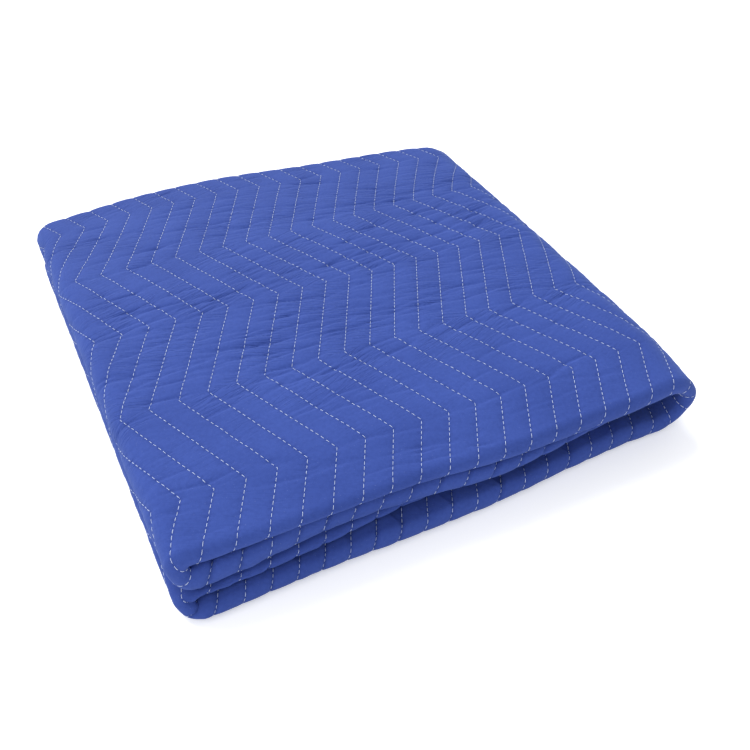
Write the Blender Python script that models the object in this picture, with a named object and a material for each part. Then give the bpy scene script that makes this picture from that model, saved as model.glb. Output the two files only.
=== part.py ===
"""Quilted moving blanket, folded into a square stack of sixteen layers.

The cloth is cut 1.9 by 2.0 m and quilted with zigzag lines that run along its longer side. It is
folded in half twice along those lines, which makes a strip of four layers. Both ends of the strip
are then turned in, and the strip is closed like a book, with its back on the right. X runs along
the long front edge, Y to the back and Z up. The stack rests on Z = 0.

Lengths are in metres. The tables of the fold are in quilt pitches, the distance between two lines.
"""

import math

import bmesh
import bpy

PITCH = 0.0254  # between two stitch lines
LAYER = 0.00465  # from one layer to the next in the strip
CLOTH = 0.0040  # quilted cloth at its full loft
HEM = 0.0021  # the same cloth pressed flat under the binding
GROOVE = 0.0009  # how deep a stitch line sinks in
HALF_GAP = 0.0003  # between the strip's face and the middle of a fold
HEM_WIDTH = 0.0135
TAPE_WIDTH = 0.0120  # the binding on each side of the cloth
TAPE = 0.0006
TAPE_GAP = 0.00047  # binding to cloth

# Places of the folds, in pitches, with row 0 of the zigzag corners at Y = 0.
FRONT = -17.60  # centre of the strip's front folds
BACK = 1.25  # centre of the strip's back fold
LEFT_TOP = 1.30  # centre of the left fold between the two upper packs
LEFT_LOW = 1.25  # centre of the left fold between the two lower packs
RIGHT = 18.85  # centre of the large fold on the right
END_TOP = 17.70  # free end of the upper turned-in flap
END_LOW = 17.62  # free end of the lower one
EDGE_MIDDLE = 0.35  # how far the two free long edges pass the back fold
EDGE_INNER = 0.25
SPINE_STRETCH = 1.05  # the right fold is a little wider than a half circle
LOW_RATE = 1.063  # the bottom pack is gathered, so its lines lie closer together

ZIGZAG = 2.0  # a line's sideways reach, in pitches
HALF_PERIOD = 4.0  # from one corner row to the next, in pitches

# The packs' front edges along X, in pitches: how far each stays behind FRONT.
FRONT_EDGE = (
    # x, top, second, third, bottom
    (0.0, 0.40, 0.10, 0.02, -0.26),
    (1.2, 0.20, -0.02, -0.08, -0.48),
    (3.0, 0.06, -0.06, -0.10, -0.46),
    (6.0, 0.00, 0.08, 0.02, -0.44),
    (9.0, 0.00, 0.00, 0.28, -0.48),
    (12.0, -0.18, -0.20, 0.45, -0.44),
    (15.0, -0.17, 0.05, 0.50, -0.24),
    (17.5, -0.17, 0.25, 0.50, -0.12),
    (19.0, -0.12, 0.25, 0.50, -0.14),
)
# The heights of the gaps between packs at the front edge, in pitches from the floor. X stands on
# the columns that all layers share, so that layers which face each other bend alike.
FRONT_GAPS = (
    # x, bottom to third, third to second, second to top
    (0.0, 0.66, 1.14, 2.15),
    (1.3, 0.64, 1.12, 2.14),
    (4.58, 0.80, 1.34, 2.36),
    (7.86, 0.90, 1.44, 2.36),
    (11.14, 0.92, 1.32, 2.20),
    (14.42, 0.95, 1.42, 2.05),
    (17.70, 0.95, 1.55, 2.08),
    (19.0, 0.90, 1.58, 2.14),
)
# The packs' back edges along X, in pitches beyond BACK.
BACK_EDGE = (
    # x, top, second, third, bottom
    (0.0, -0.95, -0.95, -0.80, -0.80),
    (1.2, -0.50, -0.50, -0.45, -0.40),
    (3.0, -0.15, -0.25, -0.10, 0.05),
    (5.5, 0.20, 0.00, 0.10, 0.15),
    (8.0, 0.28, 0.10, -0.05, 0.10),
    (12.5, -0.15, -0.10, 0.05, 0.00),
    (16.5, -0.50, -0.40, -0.30, -0.25),
    (18.5, -0.85, -0.60, -0.50, -0.60),
    (20.0, -1.30, -1.10, -1.10, -1.10),
)

TOP, SECOND, THIRD, BOTTOM = 1, 2, 3, 4  # the columns of the tables above
NOSE_STEPS = 6  # straight pieces in a left fold
SPINE_STEPS = 8
FLAP_STEPS = 5  # divisions of hidden faces along a pack
HIDDEN_ROWS = (1.4, 3.2, 5.6, 11.0)  # and across it, in pitches from the front folds
ARC_STEPS = {1: 4, 3: 4, 5: 6}  # straight pieces in the strip's own folds, by their place in it

PACK = 4 * LAYER
REACH = PACK + HALF_GAP  # outer radius of a left fold
SPINE_REACH = 2 * PACK + 3 * HALF_GAP  # outer radius of the right fold
HEIGHT = 4 * PACK + 6 * HALF_GAP
UNDERSIDE = (LAYER - CLOTH) / 2  # the lowest face, before the stack is set on the floor


def smooth(t):
    t = min(1.0, max(0.0, t))
    return t * t * (3 - 2 * t)


def ramp(value, start, end):
    """0 at start and 1 at end, straight between them."""
    return min(1.0, max(0.0, (value - start) / (end - start)))


def look_up(table, x, column, soft=True):
    """A table's column at x, with soft or straight changes between its rows."""
    if x <= table[0][0]:
        return table[0][column]
    for low, high in zip(table, table[1:]):
        if x <= high[0]:
            share = (x - low[0]) / (high[0] - low[0])
            if soft:
                share = smooth(share)
            return low[column] + share * (high[column] - low[column])
    return table[-1][column]


# The strip: four layers of the cloth, seen from its end


def strip_path():
    """The cloth's way across the strip: straight layers and round folds, from edge to edge."""
    front, back = FRONT * PITCH, BACK * PITCH
    middle, inner = (BACK + EDGE_MIDDLE) * PITCH, (BACK + EDGE_INNER) * PITCH
    return (
        ("line", middle, 1.5 * LAYER, -1, middle - front),
        ("arc", front, 2 * LAYER, 0.5 * LAYER, -90, -180),
        ("line", front, 2.5 * LAYER, 1, back - front),
        ("arc", back, 3 * LAYER, 0.5 * LAYER, -90, 180),
        ("line", back, 3.5 * LAYER, -1, back - front),
        ("arc", front, 2 * LAYER, 1.5 * LAYER, 90, 180),
        ("line", front, 0.5 * LAYER, 1, inner - front),
    )


STRIP = strip_path()


def piece_length(piece):
    if piece[0] == "line":
        return piece[4]
    return piece[3] * math.radians(abs(piece[5]))


STARTS = [0.0]
for piece in STRIP:
    STARTS.append(STARTS[-1] + piece_length(piece))
ACROSS = STARTS[-1]  # the cloth's length along its stitch lines
TOP_START, TOP_END = STARTS[4], STARTS[5]  # the outermost layer


def in_strip(u, n):
    """(y, height in the strip) of the point u across the cloth and n off its middle."""
    k = 0
    while k < len(STRIP) - 1 and u > STARTS[k + 1]:
        k += 1
    piece, along = STRIP[k], u - STARTS[k]
    if piece[0] == "line":
        _, y, height, way, _ = piece
        return y + way * along, height - way * n
    _, y, height, radius, start, sweep = piece
    out = 1 if sweep > 0 else -1
    angle = math.radians(start) + out * along / radius
    reach = radius + out * n
    return y + reach * math.cos(angle), height + reach * math.sin(angle)


def zigzag(u):
    """How far a stitch line stands to the side at u, in pitches."""
    y = (TOP_START + BACK * PITCH - u) / PITCH
    turns = (y / HALF_PERIOD) % 2.0
    return ZIGZAG * abs(1 - turns)


# The stack: the strip, turned in from both ends and closed


def stack_path():
    """The strip's zones in order: (name, length in the cloth's pattern, in metres)."""
    nose, spine = math.pi * REACH, math.pi * SPINE_REACH
    return (
        ("second", (END_TOP - LEFT_TOP) * PITCH),
        ("upper fold", nose),
        ("top", (RIGHT - LEFT_TOP) * PITCH),
        ("spine", spine),
        ("bottom", (RIGHT - LEFT_LOW) * PITCH * LOW_RATE),
        ("lower fold", nose),
        ("third", (END_LOW - LEFT_LOW) * PITCH),
    )


STACK = stack_path()
ZONES = [0.0]
for zone in STACK:
    ZONES.append(ZONES[-1] + zone[1])
SHIFT = LEFT_TOP * PITCH - ZONES[2]
ZONES = [z + SHIFT for z in ZONES]  # on the top pack, q is X
BEGIN, FINISH = ZONES[0], ZONES[-1]
ALONG = FINISH - BEGIN


def zone_of(q):
    k = 0
    while k < len(STACK) - 1 and q > ZONES[k + 1]:
        k += 1
    return k, q - ZONES[k]


def mix(a, b, share):
    return a + (b - a) * share


def in_stack(q, m):
    """(x, z) of the point q along the strip and m above its inner face, and (pack, pack, share)."""
    k, along = zone_of(q)
    name, length = STACK[k]
    share = along / length
    left, low = LEFT_TOP * PITCH, LEFT_LOW * PITCH
    top_fold, low_fold = 3 * PACK + 5 * HALF_GAP, PACK + HALF_GAP
    middle = 2 * PACK + 3 * HALF_GAP
    reach = m + HALF_GAP
    if name == "second":
        return left + length - along, top_fold - reach, (SECOND, SECOND, 0)
    if name == "upper fold":
        angle = -math.pi / 2 - math.pi * share
        x, z = left + reach * math.cos(angle), top_fold + reach * math.sin(angle)
        return x, z, (SECOND, TOP, share)
    if name == "top":
        return left + along, top_fold + reach, (TOP, TOP, 0)
    if name == "spine":
        angle = math.pi / 2 - math.pi * share
        reach = m + PACK + 3 * HALF_GAP
        x = RIGHT * PITCH + SPINE_STRETCH * reach * math.cos(angle)
        return x, middle + reach * math.sin(angle), (TOP, BOTTOM, share)
    if name == "bottom":
        return RIGHT * PITCH - along / LOW_RATE, low_fold - reach, (BOTTOM, BOTTOM, 0)
    if name == "lower fold":
        angle = -math.pi / 2 - math.pi * share
        x, z = low + reach * math.cos(angle), low_fold + reach * math.sin(angle)
        return x, z, (BOTTOM, THIRD, share)
    return low + along, low_fold + reach, (THIRD, THIRD, 0)


def settle(x, y, z, packs):
    """Moves a point of the neat stack to where the soft, used one has it."""
    first, second, share = packs
    share = smooth(share)
    xp, yp = x / PITCH, y / PITCH
    if first == second:
        row = xp
    else:
        row = xp if first == TOP else max(xp, 0.0)
    front = smooth((-11.0 - yp) / 6.6)
    back = smooth((yp + 5.0) / 6.2)
    out = mix(look_up(FRONT_EDGE, row, first), look_up(FRONT_EDGE, row, second), share)
    far = mix(look_up(BACK_EDGE, row, first), look_up(BACK_EDGE, row, second), share)
    yp += front * out + back * far
    # the left side stands further out at the back than at the front
    leaning = -0.54 - 0.052 * yp
    xp += leaning * smooth((9.0 - xp) / 8.0)
    xp += (-0.06 - 0.016 * yp) * smooth((xp - 10.0) / 8.0)
    # the gaps between the packs at the front
    front = ramp(yp, FRONT + HIDDEN_ROWS[2], FRONT)
    knots = [UNDERSIDE, PACK + HALF_GAP, 2 * PACK + 3 * HALF_GAP, 3 * PACK + 5 * HALF_GAP, HEIGHT]
    gaps = [look_up(FRONT_GAPS, xp, k, soft=False) * PITCH for k in (1, 2, 3)]
    held = [UNDERSIDE] + [mix(knots[k], gaps[k - 1], front) for k in (1, 2, 3)] + [HEIGHT]
    k = 0
    while k < 3 and z > knots[k + 1]:
        k += 1
    z = mix(held[k], held[k + 1], (z - knots[k]) / (knots[k + 1] - knots[k]))
    # the stack is a little lower at the left, the back and the front
    drop = 0.06 * ramp(xp, 4.58, 1.3) - 0.08 * ramp(xp, 14.42, 19.0)
    drop += 0.07 * ramp(yp, FRONT + HIDDEN_ROWS[3], BACK) + 0.10 * front
    z = UNDERSIDE + (z - UNDERSIDE) * (1 - drop / 3.0)
    return xp * PITCH, yp * PITCH, z


def place(q, u, n):
    """The point q along and u across the cut cloth, n off its middle, in the folded stack."""
    y, m = in_strip(u, n)
    x, z, packs = in_stack(q, m)
    return settle(x, y, z, packs)


# Faces of the cloth


def loft(q, u):
    """Half the cloth's thickness, less near its edges where the binding presses it."""
    edge = min(q - BEGIN, FINISH - q, u, ACROSS - u)
    share = smooth((edge - HEM_WIDTH) / (0.45 * HEM_WIDTH))
    return mix(HEM / 2, CLOTH / 2, share)


def near_line(q, u):
    """1 on a stitch line and 0 halfway between two."""
    phase = (q / PITCH - zigzag(u)) % 1.0
    return abs(1 - 2 * phase)


def plain_columns():
    """Where the hidden faces are divided along the strip. Packs that face each other share them."""
    found = []
    upper, lower = (END_TOP - LEFT_TOP) * PITCH, (END_LOW - LEFT_LOW) * PITCH
    hem = [HEM_WIDTH, 1.45 * HEM_WIDTH]
    for k, (name, length) in enumerate(STACK):
        at = [0.0, length]
        if "fold" in name:
            at += [length * i / NOSE_STEPS for i in range(1, NOSE_STEPS)]
        elif name == "spine":
            at += [length * i / SPINE_STEPS for i in range(1, SPINE_STEPS)]
        elif name == "second":
            at += [upper * i / FLAP_STEPS for i in range(1, FLAP_STEPS)] + hem
        elif name == "top":
            at += [upper * i / FLAP_STEPS for i in range(1, FLAP_STEPS + 1)]
        elif name == "bottom":
            at += [length - LOW_RATE * lower * i / FLAP_STEPS for i in range(1, FLAP_STEPS + 1)]
        else:
            at += [lower * i / FLAP_STEPS for i in range(1, FLAP_STEPS)]
            at += [length - h for h in hem]
        found += [ZONES[k] + a for a in at]
    return sorted({round(q, 7) for q in found})


PLAIN = plain_columns()
FINE_ZONES = {"show": ("top", "spine"), "front": ("second", "top", "spine", "bottom", "third")}


def columns(kind, u):
    """A row's divisions along the strip, one list for each zone."""
    rows = []
    for k, (name, _) in enumerate(STACK):
        low, high = round(ZONES[k], 7), round(ZONES[k + 1], 7)
        if name in FINE_ZONES.get(kind, ()):
            side = zigzag(u) * PITCH
            first = math.ceil((low - side) / (PITCH / 2) + 0.12)
            last = math.floor((high - side) / (PITCH / 2) - 0.12)
            inner = [i * PITCH / 2 + side for i in range(first, last + 1)]
        else:
            inner = [q for q in PLAIN if low + 1e-6 < q < high - 1e-6]
        rows.append([low] + inner + [high])
    return rows


def rows_of_cloth():
    """The cloth's rows all the way round its section: (u, kind) on its face, and u on its back."""
    hem = [0.0, HEM_WIDTH, 1.45 * HEM_WIDTH]
    face = [(u, "plain") for u in hem] + [(ACROSS - u, "plain") for u in hem]
    back = hem + [ACROSS - u for u in hem]
    for k, piece in enumerate(STRIP):
        start, length = STARTS[k], STARTS[k + 1] - STARTS[k]
        if piece[0] == "line":
            fronts = [r * PITCH for r in HIDDEN_ROWS]
            inner = [start + r if piece[3] > 0 else start + length - r for r in fronts]
            back += inner
            if k != 4:
                face += [(u, "plain") for u in inner]
                continue
            # the outermost layer has a row on each zigzag corner and two between
            third = HALF_PERIOD / 3 * PITCH
            rows = [start + BACK * PITCH + i * third for i in range(16)]
            low, high = start + 0.2 * PITCH, start + length - 0.4 * PITCH
            face += [(u, "show") for u in rows if low < u < high]
        else:
            steps = ARC_STEPS[k]
            kinds = [{1: "plain", 3: "show", 5: "front"}[k]] * (steps + 1)
            if k == 3:
                kinds[0] = "plain"
            face += [(start + length * i / steps, kinds[i]) for i in range(steps + 1)]
            back += [start + length * i / steps for i in range(steps + 1)]
    return sorted(face), sorted(back)


def zip_up(faces, one, other):
    """Triangles between two rows of (key, vertex), the next nearest point first."""
    i = j = 0
    while i < len(one) - 1 or j < len(other) - 1:
        if j == len(other) - 1 or (i < len(one) - 1 and one[i + 1][0] <= other[j + 1][0]):
            faces.append((one[i][1], one[i + 1][1], other[j][1]))
            i += 1
        else:
            faces.append((one[i][1], other[j + 1][1], other[j][1]))
            j += 1


def cloth():
    """The vertices and triangles of the whole cloth."""
    points, faces = [], []

    def add_row(u, side, kind):
        row = []
        for k, line in enumerate(columns(kind, u)):
            zone = []
            for i, q in enumerate(line):
                if k and i == 0:
                    zone.append((q, row[-1][-1][1]))
                    continue
                n = loft(q, u)
                if side > 0 and kind != "plain" and STACK[k][0] in FINE_ZONES[kind]:
                    n -= GROOVE * near_line(q, u)
                points.append(place(q, u, side * n))
                zone.append((q, len(points) - 1))
            row.append(zone)
        return u, kind, row

    def join(low, high):
        (u0, kind0, row0), (u1, kind1, row1) = low, high
        way = next((p[3] for p, end in zip(STRIP, STARTS[1:]) if u0 < end - 1e-7), 1)
        for k, (name, _) in enumerate(STACK):
            a, b = row0[k], row1[k]
            # layers that face each other are divided along the same diagonals
            turned = (way > 0) != (name in ("second", "bottom"))
            if all(name in FINE_ZONES.get(kind, ()) for kind in (kind0, kind1)):
                sides = [zigzag(u) * PITCH for u in (u0, u1)]
                a, b = keyed(a, sides[0]), keyed(b, sides[1])
                if kind0 == kind1 == "show":
                    turned = sides[1] < sides[0]  # the shorter diagonal
            if turned:
                a, b = b, a
            zip_up(faces, a, b)

    def keyed(zone, side):
        inner = [(q - side, v) for q, v in zone[1:-1]]
        return [(-9.0, zone[0][1])] + inner + [(9.0, zone[-1][1])]

    face, back = rows_of_cloth()
    face = [add_row(u, 1, kind) for u, kind in face]
    back = [add_row(u, -1, "plain") for u in back]
    for rows in (face, back):
        for low, high in zip(rows, rows[1:]):
            join(low, high)
    join(face[0], back[0])
    join(face[-1], back[-1])
    for end in (0, -1):
        edges = [[(u, row[end][end][1]) for u, _, row in rows] for rows in (face, back)]
        zip_up(faces, *edges)
    return points, faces


# The binding: a folded tape round each edge of the cloth


def tape_profile():
    """The tape's section: (into the cloth from its edge, off the cloth's middle)."""
    inside = HEM / 2 + TAPE_GAP
    outside = inside + TAPE
    end = -TAPE_GAP
    return (
        (TAPE_WIDTH, inside),
        (end, inside),
        (end, -inside),
        (TAPE_WIDTH, -inside),
        (TAPE_WIDTH, -outside),
        (0.0, -outside),
        (end - TAPE, -0.5 * outside),
        (end - TAPE, 0.5 * outside),
        (0.0, outside),
        (TAPE_WIDTH, outside),
    )


def tube(rings):
    """A closed solid through rings of points, with flat ends."""
    size = len(rings[0])
    points = [p for ring in rings for p in ring]
    faces = []
    for i in range(len(rings) - 1):
        for j in range(size):
            a, b = i * size + j, i * size + (j + 1) % size
            faces += [(a, b, b + size), (a, b + size, a + size)]
    for base in (0, (len(rings) - 1) * size):
        ring = [base + j for j in range(size)]
        # the section is a U: three strips close it without crossing its hollow
        for loop in ((0, 1, 8, 9), (1, 2, 6, 7), (2, 3, 4, 5)):
            a, b, c, d = (ring[j] for j in loop)
            faces += [(a, b, c), (a, c, d)]
        faces += [(ring[1], ring[7], ring[8]), (ring[2], ring[5], ring[6])]
    return points, faces


def long_binding(edge):
    """The tape along one long edge: edge is 0 for the first edge and 1 for the last."""
    rings = []
    stations = [BEGIN - TAPE_GAP - TAPE] + PLAIN + [FINISH + TAPE_GAP + TAPE]
    for q in stations:
        ring = []
        for into, n in tape_profile():
            u = into if edge == 0 else ACROSS - into
            ring.append(place(q, u, n))
        rings.append(ring)
    return tube(rings)


def end_binding(end):
    """The tape across one end of the cloth, folded with the strip's four layers."""
    margin = TAPE_WIDTH + TAPE_GAP
    stations = [margin]
    for k, piece in enumerate(STRIP):
        start, length = STARTS[k], STARTS[k + 1] - STARTS[k]
        if piece[0] == "line":
            fronts = [r * PITCH for r in HIDDEN_ROWS]
            stations += [start + r if piece[3] > 0 else start + length - r for r in fronts]
        else:
            steps = ARC_STEPS[k]
            stations += [start + length * i / steps for i in range(steps + 1)]
    stations.append(ACROSS - margin)
    stations = sorted({round(u, 7) for u in stations})
    stations = [u for u in stations if margin - 1e-6 <= u <= ACROSS - margin + 1e-6]
    rings = []
    for u in stations:
        ring = []
        for into, n in tape_profile():
            q = BEGIN + into if end == 0 else FINISH - into
            ring.append(place(q, u, n))
        rings.append(ring)
    return tube(rings)


# Materials and objects


def cloth_material(name, colour, rough):
    made = bpy.data.materials.new(name)
    made.use_nodes = True
    shader = made.node_tree.nodes["Principled BSDF"]
    shader.inputs["Base Color"].default_value = (*colour, 1)
    shader.inputs["Roughness"].default_value = rough
    shader.inputs["Metallic"].default_value = 0
    return made


def add_solid(name, shape, offset, material):
    """A solid made of triangles, moved by offset, with its faces turned outward."""
    points, faces = shape
    moved = [tuple(a - b for a, b in zip(p, offset)) for p in points]
    mesh = bpy.data.meshes.new(name)
    mesh.from_pydata(moved, [], faces)
    solid = bmesh.new()
    solid.from_mesh(mesh)
    bmesh.ops.recalc_face_normals(solid, faces=solid.faces)
    if solid.calc_volume(signed=True) < 0:
        bmesh.ops.reverse_faces(solid, faces=solid.faces)
    solid.to_mesh(mesh)
    solid.free()
    made = bpy.data.objects.new(name, mesh)
    bpy.context.scene.collection.objects.link(made)
    mesh.materials.append(material)
    return made


def build():
    for old in list(bpy.data.objects):
        bpy.data.objects.remove(old, do_unlink=True)
    shapes = {
        "blanket": cloth(),
        "binding_long_middle": long_binding(0),
        "binding_long_inner": long_binding(1),
        "binding_end_upper": end_binding(0),
        "binding_end_lower": end_binding(1),
    }
    every = [p for points, _ in shapes.values() for p in points]
    low = [min(p[k] for p in every) for k in range(3)]
    high = [max(p[k] for p in every) for k in range(3)]
    offset = ((low[0] + high[0]) / 2, (low[1] + high[1]) / 2, low[2])
    for name, shape in shapes.items():
        tint = (0.060, 0.105, 0.490) if name == "blanket" else (0.045, 0.080, 0.400)
        add_solid(name, shape, offset, cloth_material(name, tint, 0.85))


build()
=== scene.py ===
"""Looks of the folded moving blanket: quilted cloth, its stitching and its binding.

The cloth is made flat, as (along, across) in metres, and laid in its folds. X runs along the
long front edge, Y to the back and Z up, with the stack on Z = 0.
"""

import math

import bmesh
import bpy
import numpy as np
from mathutils import Matrix, Vector


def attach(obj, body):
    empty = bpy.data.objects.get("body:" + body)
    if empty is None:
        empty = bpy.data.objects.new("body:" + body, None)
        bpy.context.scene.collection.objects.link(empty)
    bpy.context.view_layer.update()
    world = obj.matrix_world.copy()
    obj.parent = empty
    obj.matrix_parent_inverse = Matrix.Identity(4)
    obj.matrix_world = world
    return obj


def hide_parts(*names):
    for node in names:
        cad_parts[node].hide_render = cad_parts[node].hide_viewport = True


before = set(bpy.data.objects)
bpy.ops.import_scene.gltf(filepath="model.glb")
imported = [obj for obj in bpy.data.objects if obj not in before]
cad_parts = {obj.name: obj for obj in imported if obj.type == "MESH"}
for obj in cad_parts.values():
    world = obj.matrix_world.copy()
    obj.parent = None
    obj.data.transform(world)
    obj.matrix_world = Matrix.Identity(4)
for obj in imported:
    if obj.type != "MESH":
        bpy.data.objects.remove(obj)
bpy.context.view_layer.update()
bpy.ops.object.select_all(action="DESELECT")

PITCH = 0.0254  # between two stitch lines
LAYER = 0.00465  # from one layer to the next in the strip
CLOTH = 0.0040  # quilted cloth at its full loft
HEM = 0.0021  # the same cloth pressed flat under the binding
HALF_GAP = 0.0003  # between the strip's face and the middle of a fold
HEM_WIDTH = 0.0135
TAPE_WIDTH = 0.0120
TAPE = 0.0006
TAPE_GAP = 0.00047
CENTRE = Vector((0.260928, -0.209674, 0.000325))  # of the stack, from the first zigzag corner

# Places of the folds, in pitches
FRONT = -17.60
BACK = 1.25
LEFT_TOP = 1.30
LEFT_LOW = 1.25
RIGHT = 18.85
END_TOP = 17.70
END_LOW = 17.62
EDGE_MIDDLE = 0.35
EDGE_INNER = 0.25
SPINE_STRETCH = 1.05
LOW_RATE = 1.063
ZIGZAG = 2.0
HALF_PERIOD = 4.0

FRONT_EDGE = (
    # x, top, second, third, bottom: how far each pack stays behind FRONT
    (0.0, 0.40, 0.10, 0.02, -0.26),
    (1.2, 0.20, -0.02, -0.08, -0.48),
    (3.0, 0.06, -0.06, -0.10, -0.46),
    (6.0, 0.00, 0.08, 0.02, -0.44),
    (9.0, 0.00, 0.00, 0.28, -0.48),
    (12.0, -0.18, -0.20, 0.45, -0.44),
    (15.0, -0.17, 0.05, 0.50, -0.24),
    (17.5, -0.17, 0.25, 0.50, -0.12),
    (19.0, -0.12, 0.25, 0.50, -0.14),
)
FRONT_GAPS = (
    # x, bottom to third, third to second, second to top: heights at the front edge
    (0.0, 0.70, 1.08, 2.15),
    (1.3, 0.66, 1.02, 2.14),
    (4.58, 0.86, 1.32, 2.42),
    (7.86, 0.94, 1.44, 2.42),
    (11.14, 0.94, 1.30, 2.22),
    (14.42, 0.95, 1.42, 2.06),
    (17.70, 0.95, 1.55, 2.08),
    (19.0, 0.90, 1.58, 2.14),
)
BACK_EDGE = (
    # x, top, second, third, bottom: how far each pack passes BACK
    (0.0, -0.95, -0.95, -0.80, -0.80),
    (1.2, -0.50, -0.50, -0.45, -0.40),
    (3.0, -0.15, -0.25, -0.10, 0.05),
    (5.5, 0.20, 0.00, 0.10, 0.15),
    (8.0, 0.28, 0.10, -0.05, 0.10),
    (12.5, -0.15, -0.10, 0.05, 0.00),
    (16.5, -0.50, -0.40, -0.30, -0.25),
    (18.5, -0.85, -0.60, -0.50, -0.60),
    (20.0, -1.30, -1.10, -1.10, -1.10),
)
ROW_SHIFT = (
    # y, at the left, in the middle, at the right: wandering of the corner rows, to the back
    (-19.0, 0.06, 0.02, 0.10),
    (-16.0, -0.02, 0.02, 0.16),
    (-12.0, 0.03, 0.00, -0.03),
    (-8.0, 0.19, 0.08, 0.07),
    (-4.0, 0.18, 0.02, 0.22),
    (0.0, 0.10, 0.01, 0.16),
)
CREASES = (
    # x and y at the start, x and y at the end, waver, depth in metres
    (3.3, -12.55, 5.4, -12.55, 0.05, 0.0011),
    (5.3, -12.30, 7.3, -12.25, 0.10, 0.0012),
    (7.5, -12.68, 9.5, -12.85, 0.10, 0.0012),
    (9.3, -12.90, 11.6, -12.62, 0.08, 0.0011),
    (1.7, -7.05, 6.6, -6.85, 0.08, 0.0010),
    (6.3, -6.60, 9.2, -6.95, 0.12, 0.0008),
    (8.8, -7.05, 13.2, -6.75, 0.12, 0.0010),
    (12.6, -6.60, 18.6, -7.05, 0.14, 0.0010),
    (1.7, -3.05, 6.4, -2.95, 0.06, 0.0009),
    (6.2, -3.20, 10.4, -2.75, 0.14, 0.0007),
    (10.7, -2.65, 13.4, -3.05, 0.08, 0.0009),
    (13.0, -3.20, 18.8, -3.00, 0.14, 0.0009),
    (1.1, -10.85, 5.4, -10.35, 0.12, 0.0009),
    (5.0, -10.55, 10.4, -10.45, 0.14, 0.0009),
    (10.0, -10.40, 16.2, -10.35, 0.14, 0.0009),
    (0.8, -9.20, 5.2, -8.75, 0.10, 0.0008),
    (8.8, -8.95, 13.4, -8.45, 0.10, 0.0009),
    (7.1, -14.45, 11.0, -14.60, 0.08, 0.0008),
    (7.6, -1.55, 9.4, -1.80, 0.05, 0.0008),
    (13.0, -12.60, 18.4, -12.25, 0.16, 0.0007),
    (12.5, -14.30, 17.6, -13.60, 0.16, 0.0006),
    (14.5, -8.70, 19.4, -8.90, 0.12, 0.0008),
    (16.2, -5.00, 20.4, -5.30, 0.12, 0.0009),
    (16.6, -10.70, 20.6, -10.20, 0.14, 0.0009),
)

WRINKLE_BELTS = (
    # y and its spread, number, x from and to: where the cloth was pressed while it was folded
    (-1.0, 0.9, 60, 2.5, 21.0),
    (-2.9, 0.6, 110, 1.5, 24.0),
    (-5.2, 1.4, 100, 7.0, 24.0),
    (-7.0, 0.7, 130, 1.0, 24.0),
    (-8.9, 0.6, 80, 1.0, 24.0),
    (-10.5, 0.6, 90, 1.0, 23.0),
    (-12.5, 0.5, 80, 3.0, 23.0),
    (-9.0, 5.0, 190, -1.5, 25.5),
    (-16.5, 1.0, 40, 1.0, 24.0),
)

PACK = 4 * LAYER
REACH = PACK + HALF_GAP
SPINE_REACH = 2 * PACK + 3 * HALF_GAP
HEIGHT = 4 * PACK + 6 * HALF_GAP
UNDERSIDE = (LAYER - CLOTH) / 2
GROOVE = 0.0009  # how deep a stitch line sinks in
NOSE_GROOVE = -0.0004  # added to it where the cloth turns: lines are shallower there
PINCH = 0.0016  # mean depth of the dents that the lines make in the turned-in folds
FOLD_WAVER = 0.0005  # unevenness of those folds between the lines
CORNER_WAVER = 0.0011  # the same at the lower left corner
LOWEST_CLOTH = 0.00002  # the floor flattens the lowest layer
LOWEST_THREAD = 0.00005
THREAD = 0.00018  # radius
STITCH = 0.00400  # length
STITCH_STEPS = (0.00568, 0.00510)  # on the zigzag's legs to the right and to the left
SEAM_STEP = 0.0040  # of the binding's stitches
SEAM_HALF = 0.32 * SEAM_STEP  # half a binding stitch
SEAM_INSET = 0.0018  # from the tape's inner edge
PROBE = 0.0005  # how far off a tape's neighbouring points are taken for its directions


def smooth(t):
    t = np.clip(t, 0.0, 1.0)
    return t * t * (3 - 2 * t)


def mix(a, b, share):
    return a + (b - a) * share


def look_up(table, x, column):
    """A table's column at x, as a smooth curve through its rows."""
    at = np.array([row[0] for row in table])
    value = np.array([row[column] for row in table])
    slope = np.gradient(value, at)
    x = np.clip(x, at[0], at[-1])
    k = np.clip(np.searchsorted(at, x, side="right") - 1, 0, len(at) - 2)
    width = at[k + 1] - at[k]
    t = (x - at[k]) / width
    start = value[k] * (1 + 2 * t) * (1 - t) ** 2 + slope[k] * width * t * (1 - t) ** 2
    end = value[k + 1] * t * t * (3 - 2 * t) + slope[k + 1] * width * t * t * (t - 1)
    return start + end


def noise(x, y, seed):
    """Smooth values from -1 to 1 over the plane."""
    i, j = np.floor(x).astype(np.int64), np.floor(y).astype(np.int64)
    sx, sy = smooth(x - i), smooth(y - j)

    def corner(a, b):
        h = (a * 374761393 + b * 668265263 + seed * 974634777) & 0xFFFFFFFF
        h = ((h ^ (h >> 13)) * 1274126177) & 0xFFFFFFFF
        return ((h ^ (h >> 16)) & 0xFFFF) / 32767.5 - 1.0

    low = mix(corner(i, j), corner(i + 1, j), sx)
    high = mix(corner(i, j + 1), corner(i + 1, j + 1), sx)
    return mix(low, high, sy)


# The strip: four layers of the cloth


def strip_path():
    front, back = FRONT * PITCH, BACK * PITCH
    middle, inner = (BACK + EDGE_MIDDLE) * PITCH, (BACK + EDGE_INNER) * PITCH
    return (
        ("line", middle, 1.5 * LAYER, -1, middle - front),
        ("arc", front, 2 * LAYER, 0.5 * LAYER, -90, -180),
        ("line", front, 2.5 * LAYER, 1, back - front),
        ("arc", back, 3 * LAYER, 0.5 * LAYER, -90, 180),
        ("line", back, 3.5 * LAYER, -1, back - front),
        ("arc", front, 2 * LAYER, 1.5 * LAYER, 90, 180),
        ("line", front, 0.5 * LAYER, 1, inner - front),
    )


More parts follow.
